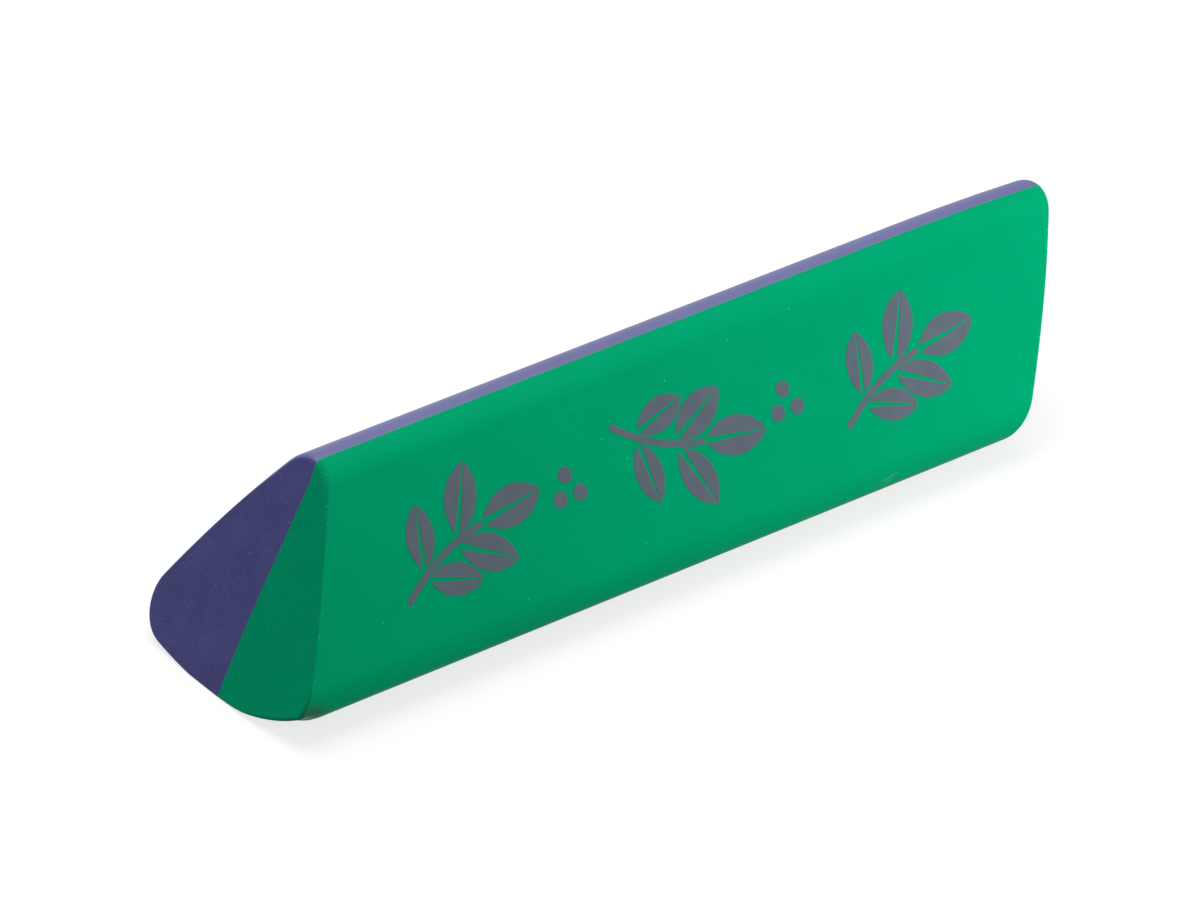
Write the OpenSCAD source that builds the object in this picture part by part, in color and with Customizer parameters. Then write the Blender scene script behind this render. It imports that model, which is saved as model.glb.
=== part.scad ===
// Block eraser in two colours: a bar of soft vinyl with a rounded triangular section.
// A front half and a back half are bonded face to face, and both ends are cut on a slant.
// Millimetres, +X along the bar, +Z up. The origin is under the middle, on the resting plane.

/* [Section] */
// Width across the two lower edges
body_w = 18.2; // [16:0.1:24]
// Height from the resting land to the top of the ridge
body_h = 16.9; // [14:0.1:22]
// Radius of the rounded ridge
ridge_r = 2.8; // [1.5:0.1:3.5]
// Radius of the two rounded lower edges
edge_r = 2.8; // [1.5:0.1:3.5]
// Radius of the slight crown on the front and back faces
face_r = 90; // [50:1:300]

/* [Underside] */
// Width of the flat land that the bar rests on
land_w = 5; // [3:0.5:8]
// Radius of the crown that rises from the land to the lower edges
base_r = 45; // [25:1:150]

/* [Length and ends] */
// Length of the bar along any lengthwise edge
bar_len = 68; // [40:1:120]
// Lean of both cut ends, in degrees from square
cut_angle = 27; // [0:1:40]

/* [Colour joint] */
// Where the joint meets the ridge: Y from the middle plane
joint_top_y = -0.25; // [-1:0.05:1]
// Where the joint meets the underside: Y from the middle plane
joint_base_y = -0.9; // [-1.5:0.05:1.5]
// How far the joint bows towards the back, halfway up
joint_bow = 0.25; // [0.05:0.05:0.6]

/* [Hidden] */
$fn = 360;

front_color = [0.00, 0.62, 0.43];
back_color = [0.29, 0.29, 0.50];

// How far the small arcs overlap the large ones, so that they cross instead of only touching
blend = 0.001;
// How many radii a corner cut reaches from the corner's centre
tip_reach = 12;

// Arc centres as [y, z], for the back side. The front side mirrors them.
// An arc that touches a larger one has its centre at the difference of the radii from the other's.
base_c = [0, sqrt(pow(base_r, 2) - pow(land_w / 2, 2))];
edge_y = body_w / 2 - edge_r;
edge_c = [edge_y, base_c.y - sqrt(pow(base_r - edge_r, 2) - pow(edge_y, 2))];
ridge_c = [0, body_h - ridge_r];
face_c = centre_from(ridge_c, face_r - ridge_r, edge_c, face_r - edge_r);

// Points where the arcs meet
ridge_end = touch(face_c, face_r, ridge_c);
face_end = touch(face_c, face_r, edge_c);
edge_end = touch(base_c, base_r, edge_c);

// The joint is an arc through its two ends, with its centre far in front
joint_top = [joint_top_y, body_h];
joint_base = [joint_base_y, 0];
joint_span = joint_top - joint_base;
joint_chord = norm(joint_span);
joint_r = pow(joint_chord, 2) / (8 * joint_bow) + joint_bow / 2;
joint_mid = (joint_top + joint_base) / 2;
joint_c = joint_mid + (joint_r - joint_bow) * left_of(joint_span) / joint_chord;

// Stock that the slanted ends are cut from
end_lean = tan(cut_angle);
cut_margin = body_h / 2;
stock_len = bar_len + end_lean * body_h + 2 * cut_margin;
stock_w = 2 * body_w;

// A quarter turn to the left
function left_of(v) = [-v.y, v.x];

// The point on a circle in the direction of p
function touch(c, r, p) = c + r * (p - c) / norm(p - c);

// The point at distance ra from a and rb from b, on the right of the way from a to b
function centre_from(a, ra, b, rb) =
    let (
        gap = norm(b - a),
        along = (pow(ra, 2) - pow(rb, 2) + pow(gap, 2)) / (2 * gap),
        aside = sqrt(pow(ra, 2) - pow(along, 2))
    )
    a + ((b - a) * along - left_of(b - a) * aside) / gap;

function mirrored(p) = [-p.x, p.y];

// X of the slanted cut through the bar's middle, at height z
function cut_x(z) = end_lean * (z - body_h / 2);

// What is cut off a corner to round it, between the ends p and q of its arc
module corner_tip(c, r, p, q) {
    difference() {
        polygon([c, c + tip_reach * (p - c), c + tip_reach * (q - c)]);
        translate(c) circle(r + blend);
    }
}

module back_face_side() {
    translate(face_c) circle(face_r);
}

module back_edge_tip() {
    corner_tip(edge_c, edge_r, face_end, edge_end);
}

// The whole rounded triangle, in both colours
module section() {
    difference() {
        intersection() {
            back_face_side();
            mirror([1, 0]) back_face_side();
            translate(base_c) circle(base_r);
            translate([-body_w, 0]) square(2 * body_w);
        }
        corner_tip(ridge_c, ridge_r, mirrored(ridge_end), ridge_end);
        back_edge_tip();
        mirror([1, 0]) back_edge_tip();
    }
}

// Everything in front of the joint
module front_of_joint() {
    translate(joint_c) circle(joint_r);
}

// The length between the two slanted cuts
module between_cuts() {
    low = -cut_margin;
    high = body_h + cut_margin;
    half = bar_len / 2;
    rotate([90, 0, 0])
        linear_extrude(height = stock_w, center = true)
            polygon([
                [cut_x(low) - half, low],
                [cut_x(low) + half, low],
                [cut_x(high) + half, high],
                [cut_x(high) - half, high]
            ]);
}

// A bar of the given section, cut to length
module cut_bar() {
    intersection() {
        rotate([90, 0, 90])
            linear_extrude(height = stock_len, center = true)
                children();
        between_cuts();
    }
}

module front_half() {
    color(front_color)
        cut_bar()
            intersection() {
                section();
                front_of_joint();
            }
}

module back_half() {
    color(back_color)
        cut_bar()
            difference() {
                section();
                front_of_joint();
            }
}

front_half();
back_half();
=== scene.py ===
import math

import bmesh
import bpy
from mathutils import Matrix, Vector


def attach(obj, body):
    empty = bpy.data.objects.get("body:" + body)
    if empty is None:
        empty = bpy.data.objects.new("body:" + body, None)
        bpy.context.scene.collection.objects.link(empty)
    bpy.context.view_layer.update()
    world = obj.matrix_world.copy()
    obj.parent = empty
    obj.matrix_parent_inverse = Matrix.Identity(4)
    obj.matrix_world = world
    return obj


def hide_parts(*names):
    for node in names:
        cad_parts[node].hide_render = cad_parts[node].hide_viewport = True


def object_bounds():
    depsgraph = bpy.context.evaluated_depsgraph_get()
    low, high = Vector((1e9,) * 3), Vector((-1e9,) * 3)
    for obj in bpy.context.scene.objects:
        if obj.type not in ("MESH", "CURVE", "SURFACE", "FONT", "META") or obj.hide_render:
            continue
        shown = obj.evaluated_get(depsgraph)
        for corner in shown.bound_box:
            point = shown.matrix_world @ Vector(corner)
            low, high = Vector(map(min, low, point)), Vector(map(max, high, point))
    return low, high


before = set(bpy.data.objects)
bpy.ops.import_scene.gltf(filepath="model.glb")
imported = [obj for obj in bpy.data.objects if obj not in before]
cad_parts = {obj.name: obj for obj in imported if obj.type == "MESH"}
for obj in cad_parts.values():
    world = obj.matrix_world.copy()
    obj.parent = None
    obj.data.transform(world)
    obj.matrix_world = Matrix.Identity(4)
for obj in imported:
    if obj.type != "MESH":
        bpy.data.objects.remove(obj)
cadLow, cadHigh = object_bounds()
mm = 0.001  # shapes are drawn in millimetres and scaled at the end
closeBy = 0.001  # points nearer than this, in millimetres, count as one
print("frame loaded:", ", ".join(sorted(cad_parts)))

# the bar's section and cuts, in millimetres; the overall sizes come from the solids
bar = {
    "width": (cadHigh.y - cadLow.y) / mm,
    "height": (cadHigh.z - cadLow.z) / mm,
    "ridgeRadius": 2.8,
    "edgeRadius": 2.8,
    "faceRadius": 90.0,
    "landWidth": 5.0,
    "baseRadius": 45.0,
    "cutAngle": 27.0,
    "farCutAngle": 28.6,  # the far cut strays inwards below the ridge
    "jointTop": -0.25,
    "jointBase": -0.9,
    "jointBow": 0.25,
}
bar["lean"] = math.tan(math.radians(bar["cutAngle"]))
bar["farLean"] = math.tan(math.radians(bar["farCutAngle"]))
bar["length"] = (cadHigh.x - cadLow.x) / mm - bar["lean"] * bar["height"]
bar["top"] = cadHigh.x / mm  # X of the far end of the ridge


# points of the section lie in the plane x = 0
def at(y, z):
    return Vector((0, y, z))


def flipped(p):
    return Vector((p.x, -p.y, p.z))


def leftOf(way):
    return at(-way.z, way.y)


def touch(centre, radius, towards):
    return centre + (towards - centre).normalized() * radius


def meeting(a, fromA, b, fromB):  # the point at these distances from a and b, right of the way a to b
    way = b - a
    along = (fromA**2 - fromB**2 + way.length_squared) / (2 * way.length)
    aside = math.sqrt(fromA**2 - along**2)
    return a + (way * along - leftOf(way) * aside) / way.length


# arc centres and the points where the arcs meet, for the back side
baseCentre = at(0, math.sqrt(bar["baseRadius"] ** 2 - (bar["landWidth"] / 2) ** 2))
edgeY = bar["width"] / 2 - bar["edgeRadius"]
edgeDrop = math.sqrt((bar["baseRadius"] - bar["edgeRadius"]) ** 2 - edgeY**2)
edgeCentre = at(edgeY, baseCentre.z - edgeDrop)
ridgeCentre = at(0, bar["height"] - bar["ridgeRadius"])
faceCentre = meeting(
    ridgeCentre, bar["faceRadius"] - bar["ridgeRadius"],
    edgeCentre, bar["faceRadius"] - bar["edgeRadius"],
)
ridgeEnd = touch(faceCentre, bar["faceRadius"], ridgeCentre)
faceEnd = touch(faceCentre, bar["faceRadius"], edgeCentre)
edgeEnd = touch(baseCentre, bar["baseRadius"], edgeCentre)
landEnd = at(bar["landWidth"] / 2, 0)

# the joint between the colours is a long arc, bowed towards the back
jointFoot = at(bar["jointBase"], 0)
jointSpan = at(bar["jointTop"], bar["height"]) - jointFoot
jointRadius = jointSpan.length_squared / (8 * bar["jointBow"]) + bar["jointBow"] / 2
jointCentre = (
    jointFoot + jointSpan / 2
    + leftOf(jointSpan).normalized() * (jointRadius - bar["jointBow"])
)
jointHead = meeting(ridgeCentre, bar["ridgeRadius"], jointCentre, jointRadius)


def spin(bm, start, centre, axis, angle, steps):  # draws out a vert or an edge, and gives its last place
    made = bmesh.ops.spin(
        bm, geom=[start], cent=centre, axis=axis, dvec=(0, 0, 0), angle=angle, steps=steps,
        use_merge=False, use_normal_flip=False, use_duplicate=False,
    )
    return made["geom_last"][0]


def spinArc(bm, vert, centre, end, steps):  # draws edges from vert round centre to end
    axis = Vector((1, 0, 0))
    a, b = vert.co - centre, end - centre
    angle = math.atan2(axis.dot(a.cross(b)), a.dot(b))
    last = spin(bm, vert, centre, axis, angle, steps)
    last.co = end
    return last


def addLoop(bm, point, normal):  # cuts all faces along a plane, and keeps both sides
    geom = bm.verts[:] + bm.edges[:] + bm.faces[:]
    bmesh.ops.bisect_plane(bm, geom=geom, dist=closeBy, plane_co=point, plane_no=normal)


def pullOut(bm, faces, way):
    pulled = bmesh.ops.extrude_face_region(bm, geom=faces)["geom"]
    verts = [g for g in pulled if isinstance(g, bmesh.types.BMVert)]
    bmesh.ops.translate(bm, vec=way, verts=verts)


def toObject(bm, name, materials):
    bmesh.ops.scale(bm, vec=(mm, mm, mm), verts=bm.verts)
    mesh = bpy.data.meshes.new(name)
    bm.to_mesh(mesh)
    bm.free()
    for material in materials:
        mesh.materials.append(material)
    piece = bpy.data.objects.new(name, mesh)
    bpy.context.scene.collection.objects.link(piece)
    return piece


# nodes: an input is a plain value or the socket that feeds it
def put(tree, kind, inputs=None, **settings):
    node = tree.nodes.new(kind)
    for key, value in settings.items():
        setattr(node, key, value)
    for key, value in (inputs or {}).items():
        if isinstance(value, bpy.types.NodeSocket):
            tree.links.new(value, node.inputs[key])
        else:
            node.inputs[key].default_value = value
    return node


def calc(tree, operation, a, b=0.0):
    return put(tree, "ShaderNodeMath", {0: a, 1: b}, operation=operation).outputs[0]


def ramp(tree, value, low, high, toLow=0.0, toHigh=1.0):
    inputs = {"Value": value, "From Min": low, "From Max": high, "To Min": toLow, "To Max": toHigh}
    return put(tree, "ShaderNodeMapRange", inputs, interpolation_type="SMOOTHSTEP").outputs[0]


def mixColour(tree, share, a, b):
    return put(tree, "ShaderNodeMix", {0: share, 6: a, 7: b}, data_type="RGBA").outputs[2]


noiseKinds = {  # detail and roughness
    "plain": (2.0, 0.5),
    "cloudy": (3.0, 0.5),
    "grainy": (3.0, 0.6),
    "ragged": (4.0, 0.6),
}
noiseMiddle = 0.5
noiseRange = (0.3, 0.7)  # where nearly all the values of a noise lie


def noise(tree, place, size, kind="plain"):  # size of the blotches, in millimetres
    detail, roughness = noiseKinds[kind]
    inputs = {"Vector": place, "Scale": 1 / (size * mm), "Detail": detail, "Roughness": roughness}
    return put(tree, "ShaderNodeTexNoise", inputs).outputs["Fac"]


def spread(tree, value, around, by):  # noise turned into values a little below and above one value
    return ramp(tree, value, *noiseRange, around - by, around + by)


def drawnOut(tree, place, scale, turn=0.0, centre=(0, 0, 0)):  # scale by axis, turn in degrees up from X
    rotation = (0, -math.radians(turn), 0)
    inputs = {"Vector": place, "Location": centre, "Rotation": rotation, "Scale": scale}
    return put(tree, "ShaderNodeMapping", inputs, vector_type="TEXTURE").outputs[0]


def specks(tree, place, spacing, size, share, core=0.6):  # round flecks, full within the core's share
    cells = put(tree, "ShaderNodeTexVoronoi", {"Vector": place, "Scale": 1 / (spacing * mm)})
    spot = ramp(tree, cells.outputs["Distance"], size / spacing, core * size / spacing)
    pick = put(tree, "ShaderNodeSeparateColor", {"Color": cells.outputs["Color"]}).outputs[0]
    return calc(tree, "MULTIPLY", spot, ramp(tree, pick, 1 - share, 1.0))  # some faint, some clear


def newMaterial(name):
    material = bpy.data.materials.new(name)
    material.use_nodes = True
    tree = material.node_tree
    place = put(tree, "ShaderNodeTexCoord").outputs["Object"]
    return material, tree, tree.nodes["Principled BSDF"], place


def setLook(tree, shader, colour, roughness, height, depth, specular):
    bump = put(tree, "ShaderNodeBump", {"Height": height, "Strength": 1.0, "Distance": depth * mm})
    tree.links.new(colour, shader.inputs["Base Color"])
    tree.links.new(roughness, shader.inputs["Roughness"])
    tree.links.new(bump.outputs[0], shader.inputs["Normal"])
    shader.inputs["Specular IOR Level"].default_value = specular


def rimNearness(tree, place, reach):  # 1 close to the slanted cuts, 0 further in than reach
    axes = put(tree, "ShaderNodeSeparateXYZ", {"Vector": place}).outputs

    def along(lean):  # X, measured in the plane of the resting land
        return calc(tree, "SUBTRACT", axes["X"], calc(tree, "MULTIPLY", axes["Z"], lean))

    farFoot = bar["top"] - bar["farLean"] * bar["height"]
    nearFoot = bar["top"] - bar["lean"] * bar["height"] - bar["length"]
    fromFar = calc(tree, "SUBTRACT", farFoot * mm, along(bar["farLean"]))
    fromNear = calc(tree, "SUBTRACT", along(bar["lean"]), nearFoot * mm)
    return ramp(tree, calc(tree, "MINIMUM", fromNear, fromFar), reach * mm, reach / 2 * mm)


# smooth outer skin with faint lengthwise lines, as the compound leaves the die; sizes in millimetres
skin = {
    "blotch": 6.0,
    "blotchRange": (0.35, 0.65),
    "grain": 0.12,
    "grainDepth": 0.004,
    "glossSpread": 0.05,
    "streakLength": 9.0,
    "streakWidth": 0.22,
    "streakShare": 0.2,
    "speckSpacing": 1.6,
    "speckSize": 0.1,
    "speckShare": 0.8,
    "crumbSpacing": 0.3,  # pale crumbs along the rims of the cuts
    "crumbSize": 0.09,
    "crumbShare": 1.0,
    "crumbReach": 0.4,
    "bloomRoughness": 0.215,
    "greenSkin": {
        "dark": (0.0, 0.385, 0.165, 1),
        "light": (0.0, 0.4, 0.172, 1),
        "pale": (0.03, 0.58, 0.32, 1),
        "roughness": 0.6,
        "specular": 0.01,
        "bloom": 0.5,  # greys the skin where it turns away
    },
    "violetSkin": {
        "dark": (0.095, 0.097, 0.285, 1),
        "light": (0.108, 0.112, 0.315, 1),
        "pale": (0.2, 0.2, 0.45, 1),
        "roughness": 0.45,
        "specular": 0.6,
        "bloom": 0.0,
    },
}

# painted shade and wear on the green half: the pressed heel is darkened where its underside turns down,
# away from the light, and pale scratches run on the lower edge
heelShade = {
    "place": (-37.0, -8.7, 2.1),
    "turn": 0.0,  # degrees up from the bar's length
    "stretch": 1.4,  # longer along the turned way than across it
    "core": 0.9,  # full within this, and gone beyond the reach
    "reach": 2.0,
    "share": 0.75,
    "notch": 0.7,  # size of the border's ragged bits
    "colour": (0.04, 0.16, 0.105, 1),
}
scuff = {
    "place": (17.1, -9.0, 2.5),
    "turn": 27.0,
    "stretch": 2.2,
    "core": 0.3,
    "reach": 0.7,
    "share": 0.6,
    "notch": 0.5,
    "lineLength": 1.6,
    "lineWidth": 0.16,
    "lineRange": (0.54, 0.64),
    "colour": (0.1, 0.5, 0.33, 1),
}


def lengthwise(tree, place, length, width, turn=0.0):  # noise drawn out along the bar
    return noise(tree, drawnOut(tree, place, (length / width, 1, 1), turn), width)


def upright(tree, place, length, width):  # noise drawn out from top to bottom
    return noise(tree, drawnOut(tree, place, (1, 1, length / width)), width)


def patch(tree, place, spot):  # the share of a soft spot with a ragged border
    centre = [side * mm for side in spot["place"]]
    drawn = drawnOut(tree, place, (spot["stretch"], 1, 1), spot["turn"], centre)
    away = put(tree, "ShaderNodeVectorMath", {0: drawn}, operation="LENGTH").outputs["Value"]
    uneven = calc(tree, "ADD", noise(tree, place, spot["notch"], "ragged"), 1 - noiseMiddle)  # about 1
    ragged = calc(tree, "MULTIPLY", away, uneven)
    return ramp(tree, ragged, spot["reach"] * mm, spot["core"] * mm, 0.0, spot["share"])


def shadeAndWearGreen(tree, place, colour):
    # painted shade: the heel's colour is darkened where its underside faces down, away from the lamps
    colour = mixColour(tree, patch(tree, place, heelShade), colour, heelShade["colour"])
    lines = lengthwise(tree, place, scuff["lineLength"], scuff["lineWidth"], scuff["turn"])
    scratches = ramp(tree, lines, *scuff["lineRange"])
    share = calc(tree, "MULTIPLY", scratches, patch(tree, place, scuff))
    return mixColour(tree, share, colour, scuff["colour"])


def skinMaterial(name):
    material, tree, shader, place = newMaterial(name)
    finish = skin[name]
    blotches = noise(tree, place, skin["blotch"], "cloudy")
    grain = noise(tree, place, skin["grain"], "grainy")
    lines = lengthwise(tree, place, skin["streakLength"], skin["streakWidth"])
    faint = calc(tree, "MULTIPLY", lines, skin["streakShare"])
    tone = calc(tree, "ADD", calc(tree, "MULTIPLY", blotches, 1 - skin["streakShare"]), faint)
    colour = mixColour(tree, ramp(tree, tone, *skin["blotchRange"]), finish["dark"], finish["light"])
    flecks = specks(tree, place, skin["speckSpacing"], skin["speckSize"], skin["speckShare"])
    crumbs = specks(tree, place, skin["crumbSpacing"], skin["crumbSize"], skin["crumbShare"])
    worn = calc(tree, "MULTIPLY", crumbs, rimNearness(tree, place, skin["crumbReach"]))
    colour = mixColour(tree, calc(tree, "MAXIMUM", flecks, worn), colour, finish["pale"])
    if name == "greenSkin":
        colour = shadeAndWearGreen(tree, place, colour)
    gloss = spread(tree, grain, finish["roughness"], skin["glossSpread"])
    relief = calc(tree, "ADD", grain, faint)
    setLook(tree, shader, colour, gloss, relief, skin["grainDepth"], finish["specular"])
    shader.inputs["Sheen Weight"].default_value = finish["bloom"]
    shader.inputs["Sheen Roughness"].default_value = skin["bloomRoughness"]
    return material


# knife-cut ends: matte, with a fine open grain and many small flecks; sizes in millimetres
cut = {
    "blotch": 3.0,
    "grain": 0.16,
    "grainDepth": 0.012,
    "glossSpread": 0.064,
    "poreRange": (0.52, 0.75),
    "poreShare": 0.35,
    "speckSpacing": 0.55,
    "speckSize": 0.06,
    "speckShare": 0.45,
    "dragLength": 5.0,  # marks of the knife, from top to bottom
    "dragWidth": 0.2,
    "dragShare": 0.5,
    "greenCut": {
        "dark": (0.0, 0.383, 0.18, 1),
        "light": (0.0, 0.402, 0.191, 1),
        "pale": (0.2, 0.6, 0.4, 1),
        "paleShare": 0.25,
        "roughness": 0.8,
        "specular": 0.01,
    },
    "violetCut": {
        "dark": (0.085, 0.088, 0.275, 1),
        "light": (0.097, 0.101, 0.307, 1),
        "pale": (0.4, 0.46, 1.0, 1),
        "paleShare": 0.5,
        "roughness": 0.75,
        "specular": 0.1,
    },
}


def cutMaterial(name):
    material, tree, shader, place = newMaterial(name)
    finish = cut[name]
    blotches = noise(tree, place, cut["blotch"], "cloudy")
    grain = noise(tree, place, cut["grain"], "grainy")
    drag = upright(tree, place, cut["dragLength"], cut["dragWidth"])
    colour = mixColour(tree, ramp(tree, blotches, *noiseRange), finish["dark"], finish["light"])
    flecks = specks(tree, place, cut["speckSpacing"], cut["speckSize"], cut["speckShare"])
    pores = ramp(tree, grain, *cut["poreRange"], 0.0, cut["poreShare"])
    spots = calc(tree, "MULTIPLY", calc(tree, "MAXIMUM", flecks, pores), finish["paleShare"])
    colour = mixColour(tree, spots, colour, finish["pale"])
    gloss = spread(tree, grain, finish["roughness"], cut["glossSpread"])
    relief = calc(tree, "ADD", grain, calc(tree, "MULTIPLY", drag, cut["dragShare"]))
    setLook(tree, shader, colour, gloss, relief, cut["grainDepth"], finish["specular"])
    return material


greenSkin, violetSkin = skinMaterial("greenSkin"), skinMaterial("violetSkin")
greenCut, violetCut = cutMaterial("greenCut"), cutMaterial("violetCut")
print("vinyl materials made")

# the two halves of the bar, in millimetres and degrees
halfBars = {
    "arcSteps": {"ridge": 14, "face": 12, "edge": 22, "base": 14, "joint": 24},
    "lengthCuts": 15,
    "nearLoops": (0.75, 1.1, 1.45, 1.8, 2.2, 2.6, 3.2),  # from the near end
    "pressReach": 3.2,  # the pressed heel, from the near end
    "pressFrom": 1.0,  # where its curve leaves the floor, from the middle
    "pressRadius": 15.0,
    "pressSoft": 0.2,
    "pressEase": 2.0,
    "sink": 0.42,  # of the ridge at the far end
    "sinkReach": 12.0,
    "sinkFrom": 8.0,  # nothing sinks below this height
    "swing": 0.33,  # how far the joint strays to the front, between these two heights
    "swingFrom": 13.0,
    "swingTo": 15.4,
    "rimPlain": 0.15,
    "rimHeel": 0.34,
    "rimHeelHeight": (4.0, 2.0),  # where the heel's wider rim begins, and where it is whole
    "rimHeelSide": (3.0, 7.0),  # the same, out from the middle
    "rimNearTop": 0.42,
    "rimFarTop": 0.3,
    "rimTopFrom": 12.5,
    "rimTopTo": 16.0,
    "rimSteps": 5,
    "sharpAngle": 35.0,
}


def onJoint(vert):
    return abs((at(vert.co.y, vert.co.z) - jointCentre).length - jointRadius) < closeBy


def fade(value, start, end):  # 0 at start, 1 at end, eased
    share = min(max((value - start) / (end - start), 0.0), 1.0)
    return share * share * (3 - 2 * share)


def pressHeel(bm):  # the cut pressed the front of the near end's underside up into a curve
    radius, soft = halfBars["pressRadius"], halfBars["pressSoft"]
    for vert in bm.verts:
        if vert.co.y < 0:
            aside = max(-vert.co.y - halfBars["pressFrom"], 0.0)
            gap = radius - math.sqrt(radius**2 - aside**2) - vert.co.z
            lift = max(gap, 0.0) + max(soft - abs(gap), 0.0) ** 2 / (4 * soft)
            share = fade(vert.co.x + bar["length"] / 2, halfBars["pressReach"], 0.0)
            vert.co.z += share * lift * fade(-vert.co.y, 0.0, halfBars["pressEase"])


def swingJoint(bm):  # below the ridge the joint strays a little to the front
    for vert in bm.verts:
        if onJoint(vert):
            low = fade(vert.co.z, 0.0, halfBars["swingFrom"])
            high = fade(vert.co.z, bar["height"], halfBars["swingTo"])
            vert.co.y -= halfBars["swing"] * low * high


def settleFarEnd(bm):  # the ridge sinks towards the far cut, and the cut leans further in below it
    for vert in bm.verts:
        below = bar["height"] - vert.co.z
        fromEnd = bar["top"] - bar["lean"] * below - vert.co.x
        vert.co.x -= (1 - fromEnd / bar["length"]) * below * (bar["farLean"] - bar["lean"])
        near = max(1 - fromEnd / halfBars["sinkReach"], 0.0)
        high = max(1 - below / (bar["height"] - halfBars["sinkFrom"]), 0.0)
        vert.co.z -= halfBars["sink"] * near**2 * high**2


def rimWidth(p):  # the rims of the cut ends are crisp, but soft by the ridge and on the pressed heel
    plain = halfBars["rimPlain"]
    top = halfBars["rimNearTop"] if p.x < 0 else halfBars["rimFarTop"]
    width = plain + (top - plain) * fade(p.z, halfBars["rimTopFrom"], halfBars["rimTopTo"])
    if p.x < 0 and p.y < 0:
        heel = fade(p.z, *halfBars["rimHeelHeight"]) * fade(-p.y, *halfBars["rimHeelSide"])
        width += (halfBars["rimHeel"] - plain) * heel
    return width


def halfBar(name, place, materials):  # place sends points of the back side to this half's side
    steps = halfBars["arcSteps"]
    bm = bmesh.new()
    corner = bm.verts.new(jointHead)
    corner = spinArc(bm, corner, ridgeCentre, place(ridgeEnd), steps["ridge"])
    corner = spinArc(bm, corner, place(faceCentre), place(faceEnd), steps["face"])
    corner = spinArc(bm, corner, place(edgeCentre), place(edgeEnd), steps["edge"])
    corner = spinArc(bm, corner, baseCentre, place(landEnd), steps["base"])
    land = bmesh.ops.extrude_vert_indiv(bm, verts=[corner])
    land["verts"][0].co = jointFoot
    spinArc(bm, land["verts"][0], jointCentre, jointHead, steps["joint"])
    bmesh.ops.remove_doubles(bm, verts=bm.verts, dist=closeBy)
    section = bmesh.ops.contextual_create(bm, geom=bm.edges[:])["faces"]

    # pull the section out to the bar's length, with closer loops behind the near end
    bmesh.ops.translate(bm, vec=(-bar["length"] / 2, 0, 0), verts=bm.verts)
    pullOut(bm, section, (bar["length"], 0, 0))
    longEdges = [e for e in bm.edges if e.calc_length() > bar["length"] / 2]
    bmesh.ops.subdivide_edges(
        bm, edges=longEdges, cuts=halfBars["lengthCuts"], use_grid_fill=True
    )
    for loop in halfBars["nearLoops"]:
        addLoop(bm, (loop - bar["length"] / 2, 0, 0), (1, 0, 0))

    # the rims of the cut ends are softened, and the joint's border stays sharp
    caps = [f for f in bm.faces if len(f.verts) > 4]
    weights = bm.edges.layers.float.new("bevel_weight_edge")
    widest = halfBars["rimNearTop"]
    for cap in caps:
        cap.material_index = 1
        for edge in cap.edges:
            if not all(onJoint(v) for v in edge.verts):
                edge[weights] = rimWidth((edge.verts[0].co + edge.verts[1].co) / 2) / widest
    sharpAngle = math.radians(halfBars["sharpAngle"])
    for edge in bm.edges:
        edge.smooth = not (all(onJoint(v) for v in edge.verts) and edge.calc_face_angle(0) > sharpAngle)
    for face in bm.faces:
        face.smooth = True

    # bend the joint and press the heel, then lean the bar so that both ends lie along the slanted cuts
    swingJoint(bm)
    pressHeel(bm)
    lean = Matrix.Identity(4)
    lean[0][2] = bar["lean"]
    lean[0][3] = -bar["lean"] * bar["height"] / 2
    bmesh.ops.transform(bm, matrix=lean, verts=bm.verts)
    settleFarEnd(bm)
    bmesh.ops.recalc_face_normals(bm, faces=bm.faces)
    piece = toObject(bm, name, materials)
    soften = piece.modifiers.new("rims", "BEVEL")
    soften.limit_method = "WEIGHT"
    soften.width = widest * mm
    soften.segments = halfBars["rimSteps"]
    soften.use_clamp_overlap = False
    soften.harden_normals = True
    return piece


frontBar = halfBar("frontBar", flipped, [greenSkin, greenCut])
backBar = halfBar("backBar", Vector.copy, [violetSkin, violetCut])
for piece, node, slot in (
    (frontBar, "front_half", "green_vinyl"),
    (backBar, "back_half", "violet_vinyl"),
):
    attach(piece, "root")
    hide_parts(node)
print("bar halves made:", len(frontBar.data.polygons), "and", len(backBar.data.polygons), "faces")

# printed ornament on the front face: leaf sprigs in a row, with berries between them; in millimetres
ink = {
    "film": 0.03,
    "sink": 0.01,
    "stripWidth": 1.2,
    "stemCurve": 15.0,
    "stemWidth": 0.5,
    "stemFrom": -6.6,
    "stemTo": 2.0,
    "leafGap": 0.22,
    "leaves": (  # place along the stem, turn from it in degrees, length, width
        (2.0, 0.0, 5.4, 2.7),
        (-0.6, 47.0, 5.2, 2.5),
        (-0.9, -47.0, 5.2, 2.5),
        (-4.2, 50.0, 4.6, 2.2),
        (-4.5, -50.0, 4.6, 2.2),
    ),
    "leafSteps": 14,
    "ribGap": 0.06,  # bare line between the halves of a leaf, at its tip
    "ribTurn": 2.2,
    "sprigs": (  # place along and up the face, tilt in degrees, 1 or -1 where it is flipped
        (-20.5, -0.2, 16.0, 1),
        (0.0, 0.2, 16.0, -1),
        (20.5, -0.2, 16.0, 1),
    ),
    "berryRadius": 0.62,
    "berrySpread": 1.05,
    "berryTurns": (90.0, 210.0, 330.0),
    "berrySteps": 22,
    "berries": ((-10.6, 0.2), (9.8, 0.2)),
    "dark": (0.122, 0.15, 0.19, 1),
    "light": (0.136, 0.167, 0.208, 1),
    "cloud": 1.6,
    "grain": 0.09,
    "grainDepth": 0.003,
    "holeSpacing": 0.9,  # pinholes that let the green through
    "holeSize": 0.07,
    "holeShare": 0.3,
    "holeDepth": 0.4,
    "holeColour": (0.05, 0.3, 0.2, 1),
    "roughness": 0.675,
    "glossSpread": 0.075,
    "specular": 0.05,
}


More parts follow.
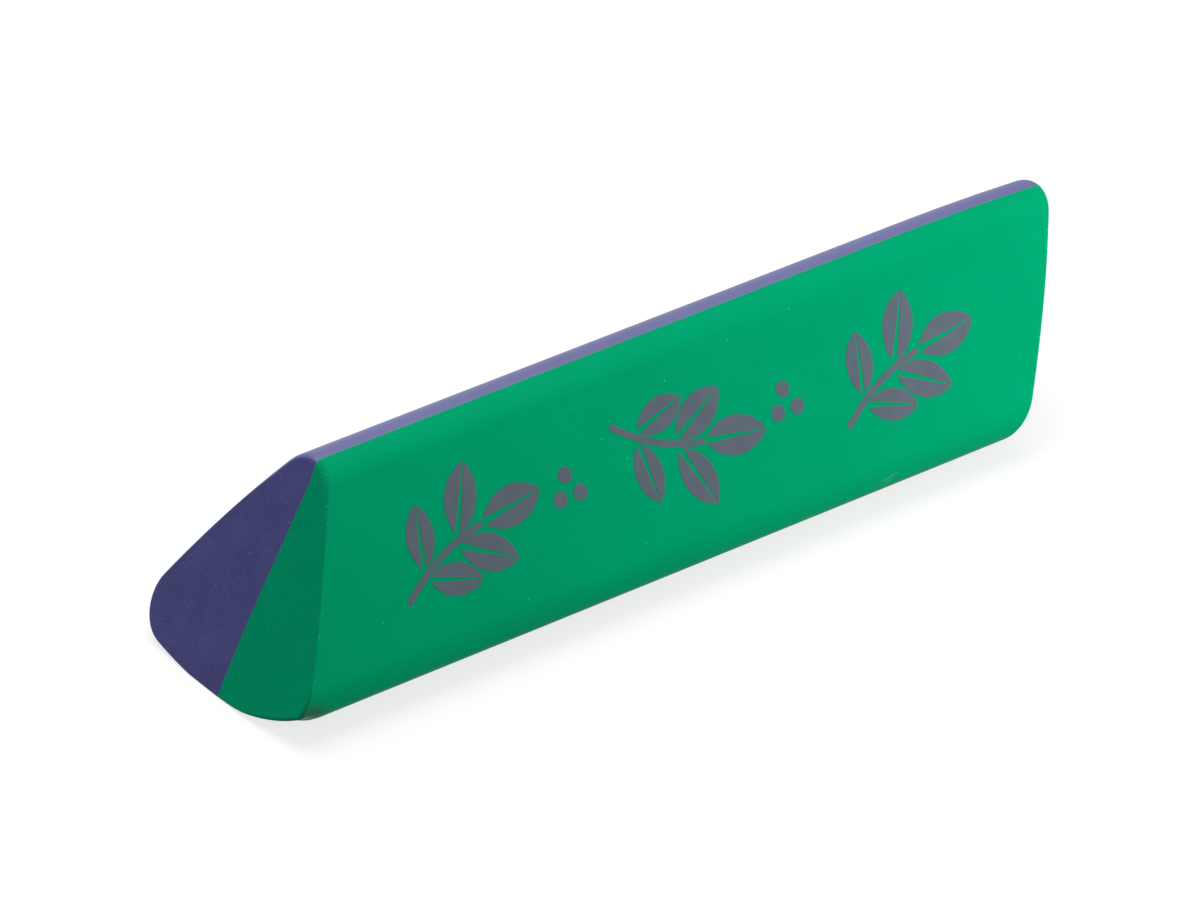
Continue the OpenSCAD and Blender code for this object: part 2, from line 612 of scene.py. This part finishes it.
def flatTurn(angle, u, v):  # turn in the flat, then move to (u, v)
    return Matrix.Translation((u, v, 0)) @ Matrix.Rotation(angle, 4, "Z")


def halfLeaf(bm, length, width, side, matrix):  # an arc and its chord, turned a little about the tip
    old = set(bm.verts)
    sag = width / 2
    radius = (length**2 / 4 + sag**2) / (2 * sag)
    half = math.asin(length / 2 / radius)
    centre = Vector((length / 2, side * (sag - radius), 0))
    first = bm.verts.new((0, 0, 0))
    spin(bm, first, centre, (0, 0, -side), 2 * half, ink["leafSteps"])
    new = [v for v in bm.verts if v not in old]
    bm.faces.new(new)
    tip = Matrix.Translation((length, 0, 0))
    ribTurn = Matrix.Rotation(-side * math.radians(ink["ribTurn"]), 4, "Z")
    ribGap = Matrix.Translation((0, side * ink["ribGap"] / 2, 0))
    bmesh.ops.transform(bm, matrix=matrix @ ribGap @ tip @ ribTurn @ tip.inverted(), verts=new)


def sprig(bm, matrix):
    curve = ink["stemCurve"]
    old = set(bm.verts)
    ends = [bm.verts.new((0, side * ink["stemWidth"] / 2, 0)) for side in (1, -1)]
    foot = bm.edges.new(ends)
    start, end = ink["stemFrom"] / curve, ink["stemTo"] / curve
    centre = Vector((0, -curve, 0))
    bmesh.ops.rotate(bm, cent=centre, matrix=Matrix.Rotation(-start, 3, "Z"), verts=ends)
    spin(bm, foot, centre, (0, 0, -1), end - start, ink["leafSteps"])
    bmesh.ops.transform(bm, matrix=matrix, verts=[v for v in bm.verts if v not in old])
    for along, turn, length, width in ink["leaves"]:
        angle, turn = along / curve, math.radians(turn)
        base = flatTurn(turn - angle, curve * math.sin(angle), curve * (math.cos(angle) - 1))
        clear = ink["leafGap"]  # each leaf starts clear of the stem
        if turn:
            clear = (ink["stemWidth"] / 2 + clear) / abs(math.sin(turn))
        base = base @ Matrix.Translation((clear, 0, 0))
        for side in (1, -1):
            halfLeaf(bm, length, width, side, matrix @ base)


def printFilm(name, material):
    bm = bmesh.new()
    for u, v, tilt, flip in ink["sprigs"]:
        sprig(bm, flatTurn(flip * math.radians(tilt), u, v) @ Matrix.Diagonal((1, flip, 1, 1)))
    for u, v in ink["berries"]:
        for turn in map(math.radians, ink["berryTurns"]):
            way = Vector((math.cos(turn), math.sin(turn), 0))
            bmesh.ops.create_circle(
                bm, cap_ends=True, segments=ink["berrySteps"], radius=ink["berryRadius"],
                matrix=Matrix.Translation(Vector((u, v, 0)) + way * ink["berrySpread"]),
            )
    # narrow strips let the film follow the crown
    reach = max(abs(v.co.y) for v in bm.verts)
    strips = math.ceil(reach / ink["stripWidth"])
    for strip in range(-strips, strips + 1):
        addLoop(bm, (0, strip * ink["stripWidth"], 0), (0, 1, 0))
    pullOut(bm, bm.faces[:], (0, 0, ink["film"]))

    # lay the flat film on the crowned face
    centre = flipped(faceCentre)
    out = (flipped(ridgeEnd + faceEnd) / 2 - centre).normalized()
    rise = flipped(ridgeEnd - faceEnd).normalized()
    for vert in bm.verts:
        u, v, height = vert.co
        angle = v / bar["faceRadius"]
        way = out * math.cos(angle) + rise * math.sin(angle)
        vert.co = centre + way * (bar["faceRadius"] + height - ink["sink"]) + Vector((u, 0, 0))
    settleFarEnd(bm)
    bmesh.ops.recalc_face_normals(bm, faces=bm.faces)
    return toObject(bm, name, [material])


def inkMaterial():
    material, tree, shader, place = newMaterial("greyInk")
    cloud = noise(tree, place, ink["cloud"], "cloudy")
    grain = noise(tree, place, ink["grain"])
    colour = mixColour(tree, ramp(tree, cloud, *noiseRange), ink["dark"], ink["light"])
    holes = specks(tree, place, ink["holeSpacing"], ink["holeSize"], ink["holeShare"])
    shown = calc(tree, "MULTIPLY", holes, ink["holeDepth"])
    colour = mixColour(tree, shown, colour, ink["holeColour"])
    gloss = spread(tree, grain, ink["roughness"], ink["glossSpread"])
    setLook(tree, shader, colour, gloss, grain, ink["grainDepth"], ink["specular"])
    return material


frontPrint = printFilm("frontPrint", inkMaterial())
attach(frontPrint, "root")
print("print made:", len(frontPrint.data.polygons), "faces")

# plain white floor: the floor takes the shadow, and the lift keeps it pale for the camera
stage = {
    "halfSize": 3000.0,  # millimetres
    "gap": 0.02,
    "albedo": 0.3,
    "mottle": 60.0,
    "mottleDepth": 0.01,
    "lift": 0.76,
    "ambient": 0.275,
}


def seenDirectly(tree):  # 1 for rays that show the background itself
    rays = put(tree, "ShaderNodeLightPath").outputs
    shown = calc(tree, "MAXIMUM", rays["Is Camera Ray"], rays["Is Glossy Ray"])
    return calc(tree, "MAXIMUM", shown, rays["Is Transmission Ray"])


def floorMaterial():
    material, tree, shader, place = newMaterial("paleFloor")
    tree.nodes.remove(shader)
    mottle = noise(tree, place, stage["mottle"])
    low, high = stage["albedo"] - stage["mottleDepth"], stage["albedo"] + stage["mottleDepth"]
    tone = mixColour(tree, mottle, (low, low, low, 1), (high, high, high, 1))
    paper = put(tree, "ShaderNodeBsdfDiffuse", {"Color": tone})
    lift = calc(tree, "MULTIPLY", seenDirectly(tree), stage["lift"])
    glow = put(tree, "ShaderNodeEmission", {"Strength": lift})
    both = put(tree, "ShaderNodeAddShader", {0: paper.outputs[0], 1: glow.outputs[0]})
    tree.links.new(both.outputs[0], tree.nodes["Material Output"].inputs["Surface"])
    return material


bm = bmesh.new()
bmesh.ops.create_grid(bm, x_segments=1, y_segments=1, size=stage["halfSize"])
bmesh.ops.translate(bm, vec=(0, 0, -stage["gap"]), verts=bm.verts)  # a hair below the resting land
floor = toObject(bm, "floor", [floorMaterial()])

world = bpy.data.worlds.new("studio")
bpy.context.scene.world = world
world.use_nodes = True
airTree = world.node_tree
background = airTree.nodes["Background"]
background.inputs["Color"].default_value = (1, 1, 1, 1)
strength = ramp(airTree, seenDirectly(airTree), 0.0, 1.0, stage["ambient"], 1.0)
airTree.links.new(strength, background.inputs["Strength"])

softBoxes = {  # where each stands and its side, in metres, its power in watts, and whether it glints
    "keyBox": {"place": (0.1, -0.1, 0.03), "side": 0.06, "power": 0.129, "glints": False},
    "topBox": {"place": (0.03, 0.17, 0.5), "side": 0.4, "power": 1.95, "glints": True},
}
for name, box in softBoxes.items():
    lamp = bpy.data.lights.new(name, "AREA")
    lamp.shape = "SQUARE"
    lamp.size = box["side"]
    lamp.energy = box["power"]
    lampObject = bpy.data.objects.new(name, lamp)
    lampObject.location = box["place"]
    lampObject.visible_glossy = box["glints"]
    lampObject.rotation_euler = Vector(box["place"]).to_track_quat("Z", "Y").to_euler()
    bpy.context.scene.collection.objects.link(lampObject)
print("stage and lights made")

# the camera, in millimetres and degrees
view = {
    "target": (-3.112, -0.007, 7.76),
    "azimuth": -40.458,
    "elevation": 33.619,
    "roll": 3.713,
    "distance": 699.4,
    "lens": 286.88,
    "sensor": 36.0,
}
azimuth, elevation = math.radians(view["azimuth"]), math.radians(view["elevation"])
back = Vector((
    math.sin(azimuth) * math.cos(elevation),
    -math.cos(azimuth) * math.cos(elevation),
    math.sin(elevation),
))
camera = bpy.data.cameras.new("camera")
camera.lens = view["lens"]
camera.sensor_width = view["sensor"]
cameraObject = bpy.data.objects.new("camera", camera)
cameraObject.location = (Vector(view["target"]) + back * view["distance"]) * mm
turn = back.to_track_quat("Z", "Y").to_matrix() @ Matrix.Rotation(math.radians(view["roll"]), 3, "Z")
cameraObject.rotation_euler = turn.to_euler()
bpy.context.scene.collection.objects.link(cameraObject)
bpy.context.scene.camera = cameraObject
bpy.context.scene.view_settings.view_transform = "Standard"
